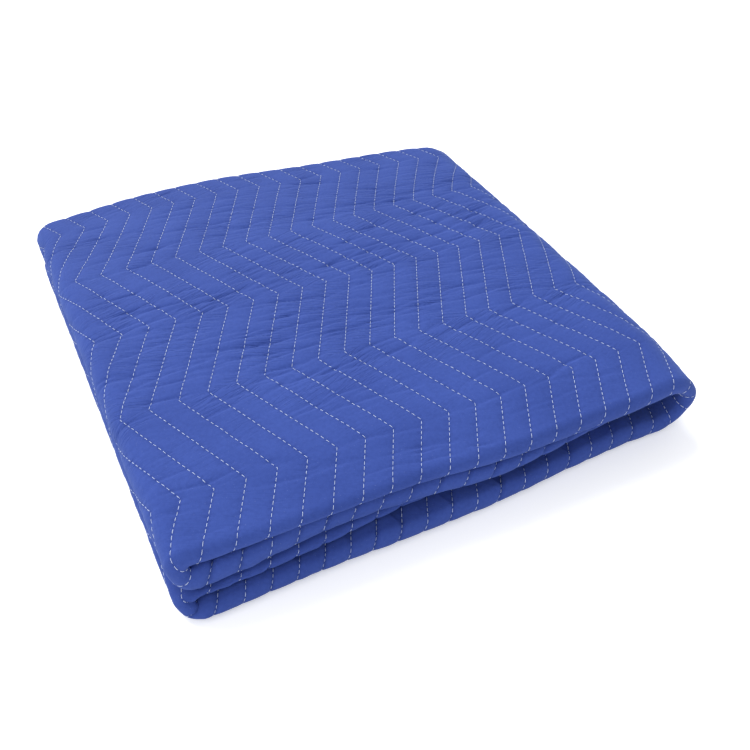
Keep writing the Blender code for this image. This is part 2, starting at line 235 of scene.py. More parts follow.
def piece_length(piece):
    if piece[0] == "line":
        return piece[4]
    return piece[3] * math.radians(abs(piece[5]))


STRIP = strip_path()
STARTS = np.cumsum([0.0] + [piece_length(piece) for piece in STRIP])
ACROSS = STARTS[-1]
OUTER = 4  # the outermost layer's place in the strip
LENGTH_FRONT = STARTS[6] - STARTS[5]


def in_strip(u, n):
    """(y, height in the strip) of points u across the cloth and n off its middle."""
    y, height = np.empty_like(u), np.empty_like(u)
    place_in = np.clip(np.searchsorted(STARTS, u, side="left") - 1, 0, len(STRIP) - 1)
    for k, piece in enumerate(STRIP):
        here = place_in == k
        along, off = u[here] - STARTS[k], n[here]
        if piece[0] == "line":
            _, start, level, way, _ = piece
            y[here], height[here] = start + way * along, level - way * off
        else:
            _, centre, level, radius, start, sweep = piece
            out = 1 if sweep > 0 else -1
            angle = math.radians(start) + out * along / radius
            reach = radius + out * off
            y[here] = centre + reach * np.cos(angle)
            height[here] = level + reach * np.sin(angle)
    return y, height


def row_of(u):
    """The place y of a point across the outermost layer, in pitches."""
    return (STARTS[OUTER] + BACK * PITCH - u) / PITCH


def zigzag(y):
    """How far a stitch line stands to the side at y, in pitches."""
    return ZIGZAG * np.abs(1 - (y / HALF_PERIOD) % 2.0)


# The stack: the strip, turned in from both ends and closed

NOSE, SPINE = math.pi * REACH, math.pi * SPINE_REACH
LENGTHS = (
    (END_TOP - LEFT_TOP) * PITCH,  # second pack
    NOSE,  # upper left fold
    (RIGHT - LEFT_TOP) * PITCH,  # top pack
    SPINE,  # right fold
    (RIGHT - LEFT_LOW) * PITCH * LOW_RATE,  # bottom pack
    NOSE,  # lower left fold
    (END_LOW - LEFT_LOW) * PITCH,  # third pack
)
ZONES = np.cumsum([0.0, *LENGTHS])
ZONES = ZONES + LEFT_TOP * PITCH - ZONES[2]
BEGIN, FINISH = ZONES[0], ZONES[-1]
TOP, SECOND, THIRD, BOTTOM = 1, 2, 3, 4
PACKS = (
    (SECOND, SECOND),
    (SECOND, TOP),
    (TOP, TOP),
    (TOP, BOTTOM),
    (BOTTOM, BOTTOM),
    (BOTTOM, THIRD),
    (THIRD, THIRD),
)


def in_stack(q, m):
    """x, z, and two packs' numbers with the share of the second, for points of the strip."""
    zone = np.clip(np.searchsorted(ZONES, q, side="left") - 1, 0, 6)
    along = q - ZONES[zone]
    share = along / np.array(LENGTHS)[zone]
    left, low, right = LEFT_TOP * PITCH, LEFT_LOW * PITCH, RIGHT * PITCH
    upper, lower = 3 * PACK + 5 * HALF_GAP, PACK + HALF_GAP
    middle = 2 * PACK + 3 * HALF_GAP
    reach = m + HALF_GAP
    turn = -math.pi / 2 - math.pi * share
    wide = m + PACK + 3 * HALF_GAP
    down = math.pi / 2 - math.pi * share
    xs = (
        left + LENGTHS[0] - along,
        left + reach * np.cos(turn),
        left + along,
        right + SPINE_STRETCH * wide * np.cos(down),
        right - along / LOW_RATE,
        low + reach * np.cos(turn),
        low + along,
    )
    zs = (
        upper - reach,
        upper + reach * np.sin(turn),
        upper + reach,
        middle + wide * np.sin(down),
        lower - reach,
        lower + reach * np.sin(turn),
        lower + reach,
    )
    packs = np.array(PACKS)[zone]
    return np.choose(zone, xs), np.choose(zone, zs), packs, np.where(zone % 2, share, 0.0)


def edge_of(table, x, packs, share):
    """A table's value where a fold passes from one pack to the next."""
    each = np.stack([look_up(table, x, pack) for pack in (TOP, SECOND, THIRD, BOTTOM)])
    rows = np.arange(len(x))
    return mix(each[packs[:, 0] - 1, rows], each[packs[:, 1] - 1, rows], smooth(share))


def left_lean(x, y):
    """The left side stands further out at the back than at the front."""
    return (-0.54 - 0.052 * y) * smooth((9.0 - x) / 8.0)


def right_lean(x, y):
    return (-0.06 - 0.016 * y) * smooth((x - 10.0) / 8.0)


def settle(x, y, z, packs, share):
    """Moves points of the neat stack to where the soft, used one has them."""
    x, y = x / PITCH, y / PITCH
    row = np.where((packs[:, 0] == packs[:, 1]) | (packs[:, 0] == TOP), x, np.maximum(x, 0.0))
    front, back = smooth((-11.0 - y) / 6.6), smooth((y + 5.0) / 6.2)
    y = y + front * edge_of(FRONT_EDGE, row, packs, share)
    y = y + back * edge_of(BACK_EDGE, row, packs, share)
    x = x + left_lean(x, y) + right_lean(x, y)
    front = np.clip((FRONT + 5.6 - y) / 5.6, 0.0, 1.0)
    knots = np.array([UNDERSIDE, REACH, SPINE_REACH, 3 * PACK + 5 * HALF_GAP, HEIGHT])
    held = [np.full_like(x, UNDERSIDE)]
    held += [mix(knots[k], look_up(FRONT_GAPS, x, k) * PITCH, front) for k in (1, 2, 3)]
    held = np.stack(held + [np.full_like(x, HEIGHT)])
    k = np.clip(np.searchsorted(knots, z, side="left") - 1, 0, 3)
    rows = np.arange(len(x))
    low, high = held[k, rows], held[k + 1, rows]
    z = mix(low, high, (z - knots[k]) / (knots[k + 1] - knots[k]))
    drop = 0.06 * smooth((4.6 - x) / 3.3) - 0.08 * smooth((x - 14.4) / 4.6)
    drop += 0.07 * smooth((y + 6.6) / 7.85) + 0.06 * front
    drop += 0.34 * smooth((-15.4 - y) / 3.0)
    z = UNDERSIDE + (z - UNDERSIDE) * (1 - drop / 3.0)
    return x * PITCH, y * PITCH, z


def place(q, u, n):
    """Where the points q along and u across the cloth, n off its middle, are in the stack."""
    q, u, n = (np.ascontiguousarray(a, float) for a in np.broadcast_arrays(q, u, n))
    y, m = in_strip(u, n)
    x, z, packs, share = in_stack(q, m)
    x, y, z = settle(x, y, z, packs, share)
    return np.stack([x, y, z], axis=-1) - np.array(CENTRE)


# The stitch lines


def row_shift(x, y):
    """How far the rows of corners have wandered to the back."""
    left, right = smooth((9.5 - x) / 7.5), smooth((x - 9.5) / 7.5)
    shift = left * look_up(ROW_SHIFT, y, 1) + right * look_up(ROW_SHIFT, y, 3)
    return shift + (1 - left - right) * look_up(ROW_SHIFT, y, 2)


def straighten(x, y):
    """The folds lean, but the stitch lines of the top run straight."""
    return -left_lean(x, y) - 0.7 * right_lean(x, y) * smooth((23.5 - x) / 4.0)


def line_place(line, u):
    """Where along the cloth stitch line number `line` is at u."""
    y = row_of(u)
    x = line + zigzag(y - row_shift(line + zigzag(y), y))
    return (x + straighten(x, y)) * PITCH


def line_number(q, u):
    """The number of the stitch line at (q, u), with its share to the next one."""
    y, at = row_of(u), q / PITCH
    x = at
    for _ in range(3):
        x = at - straighten(x, y)
    return x - zigzag(y - row_shift(x, y))


# Relief of the cloth's face


def loft(q, u):
    """Half the cloth's thickness, less under the binding."""
    edge = np.minimum(np.minimum(q - BEGIN, FINISH - q), np.minimum(u, ACROSS - u))
    return mix(HEM / 2, CLOTH / 2, smooth((edge - HEM_WIDTH) / (0.45 * HEM_WIDTH)))


def tuck(off, gentle, steep):
    """A crease's section: it sinks slowly from the back and comes up at once at the front."""
    behind = np.exp(-np.abs(off) / gentle)
    ahead = np.exp(-((off / steep) ** 2))
    return np.where(off > 0, behind, ahead)


def crease_relief(x, y):
    """The long creases of the top and the right side."""
    relief = np.zeros_like(x)
    for k, (x0, y0, x1, y1, waver, depth) in enumerate(CREASES):
        t = (x - x0) / (x1 - x0)
        line = mix(y0, y1, t) + waver * noise(x * 1.1, x * 0 + k, 31)
        ends = smooth(t / 0.18) * smooth((1 - t) / 0.18)
        uneven = 0.75 + 0.35 * noise(x * 1.7, x * 0 + k, 32)
        relief -= 1.35 * depth * ends * uneven * tuck(y - line, 0.17, 0.045)
    return relief


def leg_slope(y):
    """Which way wrinkles lean at y: across the stitch lines there."""
    return np.where((y / HALF_PERIOD) % 2.0 < 1.0, 0.30, -0.26)


def short_wrinkles():
    """Every short wrinkle: middle x and y, half length, slope, width, depth."""
    pick = np.random.RandomState(18)
    found = []
    for y, spread, count, left, right in WRINKLE_BELTS:
        xs = pick.uniform(left, right, count)
        ys = np.clip(y + spread * pick.normal(0, 1, count), -18.6, 0.9)
        long = pick.gamma(3.0, 0.30, count) + 0.35
        slope = leg_slope(ys) * pick.uniform(0.2, 1.1, count) + pick.normal(0, 0.07, count)
        wide = pick.uniform(0.055, 0.13, count)
        deep = np.minimum(pick.gamma(2.0, 0.00027, count) + 0.00010, 0.0014)
        found.append(np.stack([xs, ys, long, slope, wide, deep], -1))
    return np.concatenate(found)


WRINKLES = short_wrinkles()


def kinked(phase, number):
    """Values from -1 to 1 that change straight from one stitch line to the next."""
    k = np.floor(phase)
    low, high = noise(k * 5.3 + 0.5, k * 0 + number, 51), noise(k * 5.3 + 5.8, k * 0 + number, 51)
    return mix(low, high, phase - k)


def wrinkle_relief(q, u, phase):
    """Fine wrinkles, which the stitching draws in across its own direction."""
    x, y = q / PITCH, row_of(u)
    relief = 0.00016 * noise(x / 2.1, y / 0.8, 61) + 0.00005 * noise(x / 0.7, y / 0.23, 62)
    order = np.argsort(y, kind="stable")
    x, y, phase, sorted_relief = x[order], y[order], phase[order], relief[order]
    for number, (x0, y0, long, slope, wide, deep) in enumerate(WRINKLES):
        reach = abs(slope) * long + 0.7
        low, high = np.searchsorted(y, (y0 - reach, y0 + reach))
        near = low + np.flatnonzero(np.abs(x[low:high] - x0) < long)
        if not len(near):
            continue
        t = (x[near] - x0) / long
        line = y0 + slope * (x[near] - x0) + 0.11 * kinked(phase[near], number)
        fade = (1 - t * t) ** 1.5
        sorted_relief[near] -= deep * fade * tuck(y[near] - line, wide * (1.1 - 0.5 * t * t), 0.045)
    relief[order] = sorted_relief
    return relief


def face_relief(q, u):
    """How far the cloth's face stands off its full loft."""
    shape = np.shape(q + u)
    q, u = (np.ravel(a).astype(float) for a in np.broadcast_arrays(q, u))
    line = line_number(q, u)
    off = 1 - np.abs(1 - 2 * (line % 1.0))
    outer = smooth((u - STARTS[3]) / 0.004)
    turning = smooth((u - STARTS[OUTER + 1] + 0.012) / 0.016)
    turning = turning * smooth((STARTS[OUTER + 2] + 0.010 - u) / 0.012)
    depth = GROOVE + NOSE_GROOVE * turning
    number = np.round(line)
    tight = 1.0 + 0.35 * noise(u / 0.0042, number * 3.1, 71) + 0.3 * noise(u / 0.016, number * 1.7, 72)
    relief = -depth * tight * np.exp(-off / 0.30)
    tucked = turning * ((q < ZONES[1]) | (q > ZONES[4]))
    upper = smooth((u - STARTS[5] - 0.25 * LENGTH_FRONT) / (0.3 * LENGTH_FRONT))
    pinch = np.clip(PINCH + PINCH * noise(number * 2.3 + 0.4, u * 0 + 5, 73), 0.0002, 0.0027)
    relief -= tucked * upper * pinch * np.exp(-((off / 0.13) ** 2))
    relief -= FOLD_WAVER * tucked * noise(line * 2.3, u / 0.006, 74) * smooth(off / 0.3)
    corner = smooth((2.6 * PITCH - np.abs(q - ZONES[6])) / (1.2 * PITCH))
    relief -= CORNER_WAVER * tucked * corner * (1 + noise(line * 4.1, u / 0.0045, 75))
    relief = relief + outer * (crease_relief(q / PITCH, row_of(u)) + wrinkle_relief(q, u, line))
    return relief.reshape(shape)


# The cloth's cells: (how many along, how many across) one coarse cell is divided into


def coarse_columns():
    inner = np.arange(math.ceil(BEGIN / PITCH) + 1, math.floor(FINISH / PITCH)) * PITCH
    return [BEGIN, BEGIN + HEM_WIDTH, *inner, FINISH - HEM_WIDTH, FINISH]


def coarse_rows():
    rows = [0.0, HEM_WIDTH, ACROSS - HEM_WIDTH, ACROSS]
    for k, piece in enumerate(STRIP):
        start, end = STARTS[k], STARTS[k + 1]
        if k == OUTER:
            rows += [start + (BACK + i) * PITCH for i in range(18)]
        elif piece[0] == "line":
            fronts = [r * PITCH for r in (1.0, 2.0, 3.2, 5.6, 11.0)]
            rows += [start + r if piece[3] > 0 else end - r for r in fronts]
        rows += [start, end]
    return sorted({round(u, 8) for u in rows})


SPACING = {
    6: (0.0, 0.10, 0.27, 0.5, 0.73, 0.90, 1.0),
    8: (0.0, 0.08, 0.19, 0.33, 0.5, 0.67, 0.81, 0.92, 1.0),
}


def divided(low, high, count):
    """Places from low to high, closer together at a stitch line."""
    shares = SPACING.get(count, [i / count for i in range(count + 1)])
    return [round(low + (high - low) * share, 8) for share in shares]


def divisions(q, u, face):
    """How finely a coarse cell with its middle at (q, u) is divided."""
    zone = int(np.clip(np.searchsorted(ZONES, q) - 1, 0, 6))
    k = int(np.clip(np.searchsorted(STARTS, u) - 1, 0, 6))
    shown = ZONES[1] - 0.7 * PITCH < q < ZONES[4] + 0.7 * PITCH
    lower_left = ZONES[5] - 1.6 * PITCH < q < ZONES[6] + 1.2 * PITCH
    turned = zone in (1, 3, 5)
    near_turn = np.min(np.abs(ZONES - q)) < 0.9 * PITCH
    along, across = (2 if turned or near_turn else 1), 1
    if STRIP[k][0] == "arc":
        across = {1: 4, 3: 5, 5: 12}[k]
    if not face:
        return along, across if k != 5 else 6
    if k == 5:
        return 8, 14
    if k == 3:
        return (6 if shown else 4), 6
    if k == OUTER:
        if shown:
            return 6, 22
        if lower_left:
            return 4, 12
        if zone == 4:
            return 4, 4
        return (2 if turned else 1), 2
    if k == 6 and u < STARTS[6] + 3.2 * PITCH and ZONES[3] - 2.5 * PITCH < q < ZONES[4] + 2 * PITCH:
        return 4, 4
    return along, across


def cells():
    """Points of the flat cloth as (along, across, side), and the faces between them."""
    columns, rows = coarse_columns(), coarse_rows()
    leaves = []
    for side in (1, -1):
        for low, high in zip(rows, rows[1:]):
            for near, far in zip(columns, columns[1:]):
                edge = near == BEGIN or far == FINISH or low == 0.0 or high == rows[-1]
                nq, nu = divisions((near + far) / 2, (low + high) / 2, side > 0 or edge)
                qs = divided(near, far, nq)
                us = [round(low + (high - low) * j / nu, 8) for j in range(nu + 1)]
                for u0, u1 in zip(us, us[1:]):
                    for q0, q1 in zip(qs, qs[1:]):
                        leaves.append((q0, q1, u0, u1, side))
    points, number, on_row, on_column = [], {}, {}, {}
    for q0, q1, u0, u1, side in leaves:
        for corner in ((q0, u0, side), (q1, u0, side), (q0, u1, side), (q1, u1, side)):
            if corner not in number:
                number[corner] = len(points)
                points.append(corner)
                on_row.setdefault((corner[1], side), set()).add(corner[0])
                on_column.setdefault((corner[0], side), set()).add(corner[1])
    on_row = {key: sorted(found) for key, found in on_row.items()}
    on_column = {key: sorted(found) for key, found in on_column.items()}
    return leaves, points, number, on_row, on_column


def between(found, low, high):
    """The values of a sorted list from low to high."""
    return found[np.searchsorted(found, low) : np.searchsorted(found, high) + 1]


def flat_cloth():
    leaves, points, number, on_row, on_column = cells()
    plain_rows = {key: np.array(found) for key, found in on_row.items()}
    plain_columns = {key: np.array(found) for key, found in on_column.items()}
    faces = []
    for q0, q1, u0, u1, side in leaves:
        near = [(q, u0, side) for q in between(plain_rows[u0, side], q0, q1)]
        right = [(q1, u, side) for u in between(plain_columns[q1, side], u0, u1)]
        far = [(q, u1, side) for q in between(plain_rows[u1, side], q0, q1)[::-1]]
        left = [(q0, u, side) for u in between(plain_columns[q0, side], u0, u1)[::-1]]
        ring = [number[p] for p in near[:-1] + right[:-1] + far[:-1] + left[:-1]]
        faces.append(ring[::-1] if side > 0 else ring)
    # the cut edges close the two sides
    for u, turned in ((0.0, False), (round(ACROSS, 8), True)):
        for q0, q1 in zip(on_row[u, 1], on_row[u, 1][1:]):
            ring = [number[q0, u, 1], number[q1, u, 1], number[q1, u, -1], number[q0, u, -1]]
            faces.append(ring[::-1] if turned else ring)
    for q, turned in ((round(BEGIN, 8), True), (round(FINISH, 8), False)):
        for u0, u1 in zip(on_column[q, 1], on_column[q, 1][1:]):
            ring = [number[q, u0, 1], number[q, u1, 1], number[q, u1, -1], number[q, u0, -1]]
            faces.append(ring[::-1] if turned else ring)
    return np.array(points, float), faces


def laid(points):
    """The flat points' q, u and side, with the columns drawn sideways along the stitch lines."""
    q, u, side = points.T
    shows = smooth((u - STARTS[3] + 0.3 * PITCH) / (0.3 * PITCH))
    shows = shows * smooth((STARTS[6] + 6.0 * PITCH - u) / (3.0 * PITCH))
    ends = smooth((q - BEGIN) / (4 * PITCH)) * smooth((FINISH - q) / (4 * PITCH))
    return mix(q, line_place(q / PITCH - 1.0, u), shows * ends * (side > 0)), u, side


def new_object(name, points, faces, uv=None):
    mesh = bpy.data.meshes.new(name)
    mesh.from_pydata(points.tolist(), [], faces)
    if uv is not None:
        layer = mesh.uv_layers.new(name="cloth")
        index = np.empty(len(mesh.loops), int)
        mesh.loops.foreach_get("vertex_index", index)
        layer.data.foreach_set("uv", uv[index].astype(np.float32).ravel())
    mesh.shade_smooth()
    made = bpy.data.objects.new(name, mesh)
    bpy.context.scene.collection.objects.link(made)
    return made


def split_large_faces(mesh):
    """Triangles where a fine cell meets a coarse one."""
    work = bmesh.new()
    work.from_mesh(mesh)
    large = [face for face in work.faces if len(face.verts) > 4]
    bmesh.ops.triangulate(work, faces=large)
    work.to_mesh(mesh)
    work.free()


def make_cloth():
    points, faces = flat_cloth()
    q, u, side = laid(points)
    n = loft(q, u) + np.where(side > 0, face_relief(q, u), 0.0)
    pattern = (line_number(q, u) + zigzag(row_of(u))) * PITCH
    laid_out = place(q, u, side * n)
    laid_out[:, 2] = np.maximum(laid_out[:, 2], LOWEST_CLOTH)
    made = new_object("blanket_cloth", laid_out, faces, np.stack([pattern, u], -1))
    split_large_faces(made.data)
    return made


cloth = make_cloth()
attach(cloth, "root")
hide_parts("blanket")


# Stitching


def frame_on_face(q, u, heading):
    """Points of the cloth's face with their outward normals and the stitch line's direction."""
    step = 0.0012

    def face(a, b):
        return place(a, b, loft(a, b) + face_relief(a, b))

    here = face(q, u)
    along = face(q + step, u) - face(q - step, u)
    across = face(q, u + step) - face(q, u - step)
    normal = np.cross(across, along)
    normal /= np.linalg.norm(normal, axis=-1, keepdims=True)
    way = along * heading[0][:, None] + across * heading[1][:, None]
    way -= normal * np.sum(way * normal, axis=-1, keepdims=True)
    way /= np.linalg.norm(way, axis=-1, keepdims=True)
    return here, normal, way


RINGS = (
    # place along half a stitch, thickness, height over the cloth
    (-1.0, 0.45, -0.9),
    (-0.55, 0.95, 0.32),
    (0.0, 1.0, 0.55),
    (0.55, 0.95, 0.32),
    (1.0, 0.45, -0.9),
)
SEAM_RINGS = ((-1.0, 0.5, -0.8), (0.0, 1.0, 0.5), (1.0, 0.5, -0.8))
SIDES = 4
STITCH_FLAT, STITCH_HIGH = 1.25, 0.95  # a stitch is wider than it is high


def thread_ring(middle, aside, normal, radius, flat=1.0, high=1.0):
    """Points round a thread, for many stitches at once."""
    angles = [math.tau * (k + 0.5) / SIDES for k in range(SIDES)]
    ring = [aside * (flat * math.cos(a)) + normal * (high * math.sin(a)) for a in angles]
    return np.stack([middle + radius * reach for reach in ring], 1)


def new_threads(name, points, rings):
    """A mesh of stitches from points as (stitch, ring and side, xyz)."""
    pattern = []
    for r in range(len(rings) - 1):
        for k in range(SIDES):
            a, b = r * SIDES + k, r * SIDES + (k + 1) % SIDES
            pattern.append((a, a + SIDES, b + SIDES, b))
    first, last = range(SIDES), (len(rings) - 1) * SIDES
    pattern += [tuple(first), tuple(last + k for k in reversed(first))]
    number, count = points.shape[:2]
    faces = (np.array(pattern) + np.arange(number)[:, None, None] * count).reshape(-1, 4)
    uv = np.zeros((number, count, 2))
    uv[..., 0] = np.repeat([ring[0] for ring in rings], SIDES)
    made = new_object(name, points.reshape(-1, 3), faces.tolist(), uv.reshape(-1, 2))
    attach(made, "root")
    return made


def stitches(name, lines, u_low, u_high):
    """White stitches along the quilting lines from u_low to u_high."""
    leg = math.hypot(ZIGZAG, HALF_PERIOD) / HALF_PERIOD
    fine_step = uneven = 0.0002
    centres = []
    for line in lines:
        fine = np.arange(u_low, u_high, fine_step)
        first_leg = (row_of(fine) / HALF_PERIOD) % 2.0 < 1.0
        sewn_yet = np.cumsum(fine_step * leg / np.where(first_leg, *STITCH_STEPS))
        start = 0.5 + 0.5 * float(noise(np.array([line * 3.7]), np.array([0.5]), 21)[0])
        u = np.interp(np.arange(start, sewn_yet[-1]), sewn_yet, fine)
        u = u + uneven * noise(u / 0.0031, u * 0 + line, 22)
        centres.append(np.stack([u, np.full_like(u, line)], -1))
    u, line = np.concatenate(centres).T
    rings = []
    for t, size, lift in RINGS:
        at = u + t * STITCH / 2 / leg
        q = line_place(line, at)
        slope = (line_place(line, at + 1e-5) - line_place(line, at - 1e-5)) / 2e-5
        here, normal, way = frame_on_face(q, at, (slope, np.ones_like(slope)))
        middle, aside = here + normal * THREAD * lift, np.cross(normal, way)
        rings.append(thread_ring(middle, aside, normal, THREAD * size, STITCH_FLAT, STITCH_HIGH))
    points = np.stack(rings, 1).reshape(len(u), -1, 3)
    points[..., 2] = np.maximum(points[..., 2], LOWEST_THREAD)
    return new_threads(name, points, RINGS)


def lines_between(low, high):
    """The stitch lines whose middle lies between two places along the cloth."""
    return range(math.ceil(low / PITCH - 1.0), math.floor(high / PITCH - 1.0) + 1)


BACK_ROUND, FRONT_ROUND = STARTS[3] + 0.001, STARTS[6] + 0.020
left_lines = lines_between(ZONES[1] - PITCH, ZONES[2])
top_lines = lines_between(ZONES[2] + 1e-6, ZONES[3])
right_lines = lines_between(ZONES[3] + 1e-6, ZONES[4])
under_lines = lines_between(ZONES[4] + 1e-6, ZONES[6] + PITCH)
inner_lines = lines_between(BEGIN + 0.02, FINISH - 0.02)
inner_lines = [k for k in inner_lines if k < left_lines[0] or k > under_lines[-1]]
sewn = [
    stitches("stitching_top", [*left_lines, *top_lines], BACK_ROUND, FRONT_ROUND),
    stitches("stitching_right", right_lines, BACK_ROUND, FRONT_ROUND + 0.03),
    stitches("stitching_under", under_lines, BACK_ROUND, FRONT_ROUND),
    stitches("stitching_inner_folds", inner_lines, STARTS[5] - 0.01, FRONT_ROUND),
]


# Binding tapes


def tape_section(points=5):
    """The tape's section as (into the cloth from its edge, off its middle), with a round fold."""
    inside, outside = HEM / 2 + TAPE_GAP, HEM / 2 + TAPE_GAP + TAPE
    fold = TAPE_GAP + TAPE
    inner_fold = -TAPE_GAP * 0.6
    section = [(TAPE_WIDTH, inside), (inner_fold, inside), (inner_fold, -inside), (TAPE_WIDTH, -inside)]
    section += [(TAPE_WIDTH + 0.0002, -inside - TAPE / 2), (TAPE_WIDTH, -outside)]
    section += [(0.0, -outside)]
    for k in range(1, points):
        angle = math.pi * k / points
        section.append((-fold * math.sin(angle), -outside * math.cos(angle)))
    section += [(0.0, outside), (TAPE_WIDTH, outside), (TAPE_WIDTH + 0.0002, inside + TAPE / 2)]
    return section


def make_tape(name, node, stations, corner):
    """A tape whose section is swept through stations; corner gives (q, u) from (station, into)."""
    section = tape_section()
    rings, uv = [], []
    for into, n in section:
        q, u = corner(stations, into)
        ripple = 0.00006 * noise(stations / 0.011, stations * 0 + n * 900, 41)
        rings.append(place(q, u, n + math.copysign(1, n) * ripple))
        uv.append(np.stack([stations, np.full_like(stations, into + (0.03 if n > 0 else 0))], -1))
    points = np.stack(rings, 1)
    size, count = len(section), len(stations)
    faces = []
    for i in range(count - 1):
        for j in range(size):
            a, b = i * size + j, i * size + (j + 1) % size
            faces.append((a, b, b + size, a + size))
    # the ends show the folded tape's own thickness
    for base, turned in ((0, False), ((count - 1) * size, True)):
        ring = [base + j for j in range(size)]
        faces.append(ring[::-1] if turned else ring)
    made = new_object(name, points.reshape(-1, 3), faces, np.stack(uv, 1).reshape(-1, 2))
    work = bmesh.new()
    work.from_mesh(made.data)
    ends = [face for face in work.faces if len(face.verts) > 4]
    bmesh.ops.triangulate(work, faces=ends, ngon_method="EAR_CLIP")
    bmesh.ops.recalc_face_normals(work, faces=work.faces)
    work.to_mesh(made.data)
    work.free()
    made.data.shade_smooth()
    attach(made, "root")
    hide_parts(node)
    return made


def dense(low, high, step):
    return np.linspace(low, high, int(math.ceil((high - low) / step)) + 1)


def seam(name, stations, corner):
    """White stitches through a tape near its inner edge, on both of its faces."""
    off = HEM / 2 + TAPE_GAP + TAPE
    into = TAPE_WIDTH - SEAM_INSET
    every = []
    for side in (1, -1):
        rings = []
        for t, size, lift in SEAM_RINGS:
            at = stations + t * SEAM_HALF
            here = place(*corner(at, into), side * off)
            way = place(*corner(at + PROBE, into), side * off) - here
            aside = place(*corner(at, into + PROBE), side * off) - here
            way /= np.linalg.norm(way, axis=-1, keepdims=True)
            normal = np.cross(way, aside)
            normal /= np.linalg.norm(normal, axis=-1, keepdims=True)
            away = place(*corner(at, into), side * (off + PROBE)) - here
            normal *= np.sign(np.sum(normal * away, axis=-1, keepdims=True))
            middle = here + THREAD * size * lift * normal
            rings.append(thread_ring(middle, np.cross(normal, way), normal, THREAD * size))
        every.append(np.stack(rings, 1).reshape(len(stations), -1, 3))
    return new_threads(name, np.concatenate(every), SEAM_RINGS)


def seam_places(low, high):
    return np.arange(low + 0.004, high - 0.004, SEAM_STEP)


long_way = dense(BEGIN - TAPE_GAP - TAPE, FINISH + TAPE_GAP + TAPE, 0.0042)
end_way = dense(TAPE_WIDTH + TAPE_GAP, ACROSS - TAPE_WIDTH - TAPE_GAP, 0.0030)
long_seam, end_seam = seam_places(BEGIN, FINISH), seam_places(TAPE_WIDTH, ACROSS - TAPE_WIDTH)
EDGES = (
    ("long_middle", long_way, long_seam, lambda s, into: (s, s * 0 + into)),
    ("long_inner", long_way, long_seam, lambda s, into: (s, s * 0 + ACROSS - into)),
    ("end_upper", end_way, end_seam, lambda s, into: (s * 0 + BEGIN + into, s)),
    ("end_lower", end_way, end_seam, lambda s, into: (s * 0 + FINISH - into, s)),
)
tapes = [make_tape("tape_" + edge, "binding_" + edge, way, corner) for edge, way, _, corner in EDGES]
sewn += [seam("seam_" + edge, places, corner) for edge, _, places, corner in EDGES]


# Finishes


def feed(tree, node, inputs):
    """Sets or links a node's inputs, which are given by name or number."""
    for name, value in inputs.items():
        if isinstance(value, bpy.types.NodeSocket):
            tree.links.new(value, node.inputs[name])
        else:
            node.inputs[name].default_value = value


def shader_node(tree, kind, at=(0, 0), inputs=None, **settings):
    made = tree.nodes.new(kind)
    made.location = at
    for name, value in settings.items():
        setattr(made, name, value)
    feed(tree, made, inputs or {})
    return made


def new_group(name, inputs, outputs):
    """An empty shader group with its inputs as (name, kind, value) and its outputs' names."""
    tree = bpy.data.node_groups.new(name, "ShaderNodeTree")
    for socket, kind, value in inputs:
        made = tree.interface.new_socket(socket, in_out="INPUT", socket_type=kind)
        if value is not None:
            made.default_value = value
    for socket in outputs:
        tree.interface.new_socket(socket, in_out="OUTPUT", socket_type="NodeSocketFloat")
    start = shader_node(tree, "NodeGroupInput", (-900, 0))
    end = shader_node(tree, "NodeGroupOutput", (900, 0))
    return tree, start.outputs, end


def use_group(tree, group, at, inputs):
    return shader_node(tree, "ShaderNodeGroup", at, inputs, node_tree=group).outputs


def calculate(tree, operation, a, b=None, at=(0, 0)):
    inputs = {0: a} if b is None else {0: a, 1: b}
    return shader_node(tree, "ShaderNodeMath", at, inputs, operation=operation).outputs[0]


def noise_texture(tree, vector, scale, detail, at, **settings):
    inputs = {"Vector": vector, "Scale": scale, "Detail": detail}
    return shader_node(tree, "ShaderNodeTexNoise", at, inputs, **settings).outputs["Fac"]


def ranged(tree, value, low, high, at, to=(0.0, 1.0), kind="LINEAR"):
    """The value brought from low and high to the two values of `to`."""
    inputs = {"Value": value, "From Min": low, "From Max": high, "To Min": to[0], "To Max": to[1]}
    return shader_node(tree, "ShaderNodeMapRange", at, inputs, interpolation_type=kind).outputs[0]


def blend_colour(tree, share, a, b, at=(0, 0)):
    inputs = {0: share, 6: a, 7: b}
    inputs = {k: (*value, 1) if isinstance(value, tuple) else value for k, value in inputs.items()}
    return shader_node(tree, "ShaderNodeMix", at, inputs, data_type="RGBA").outputs[2]


def woven_group():
    """Plain weave: crossing threads over the cloth's own map."""
    floats = [("Threads", "NodeSocketFloat", 0.0006), ("Slub", "NodeSocketFloat", 0.4)]
    tree, start, end = new_group(
        "woven threads", [("Map", "NodeSocketVector", None), *floats], ["Height", "Shade"]
    )
    split = shader_node(tree, "ShaderNodeSeparateXYZ", (-700, 0), {0: start["Map"]})
    turns = calculate(tree, "DIVIDE", math.tau / 2, start["Threads"], (-700, -200))
    waves = []
    for axis, level in (("X", 100), ("Y", -100)):
        run = calculate(tree, "MULTIPLY", split.outputs[axis], turns, (-500, level))
        waves.append(calculate(tree, "SINE", run, None, (-300, level)))
    crossing = calculate(tree, "MULTIPLY", *waves, (-100, 0))
    over = calculate(tree, "ABSOLUTE", crossing, None, (50, 0))
    grain = noise_texture(tree, start["Map"], 900.0, 2.0, (-300, -350), noise_dimensions="2D")
    slub = calculate(tree, "MULTIPLY", grain, start["Slub"], (50, -300))
    height = calculate(tree, "ADD", over, slub, (300, 0))
    shade = calculate(tree, "MULTIPLY", height, 0.7, (450, -100))
    feed(tree, end, {"Height": height, "Shade": shade})
    return tree


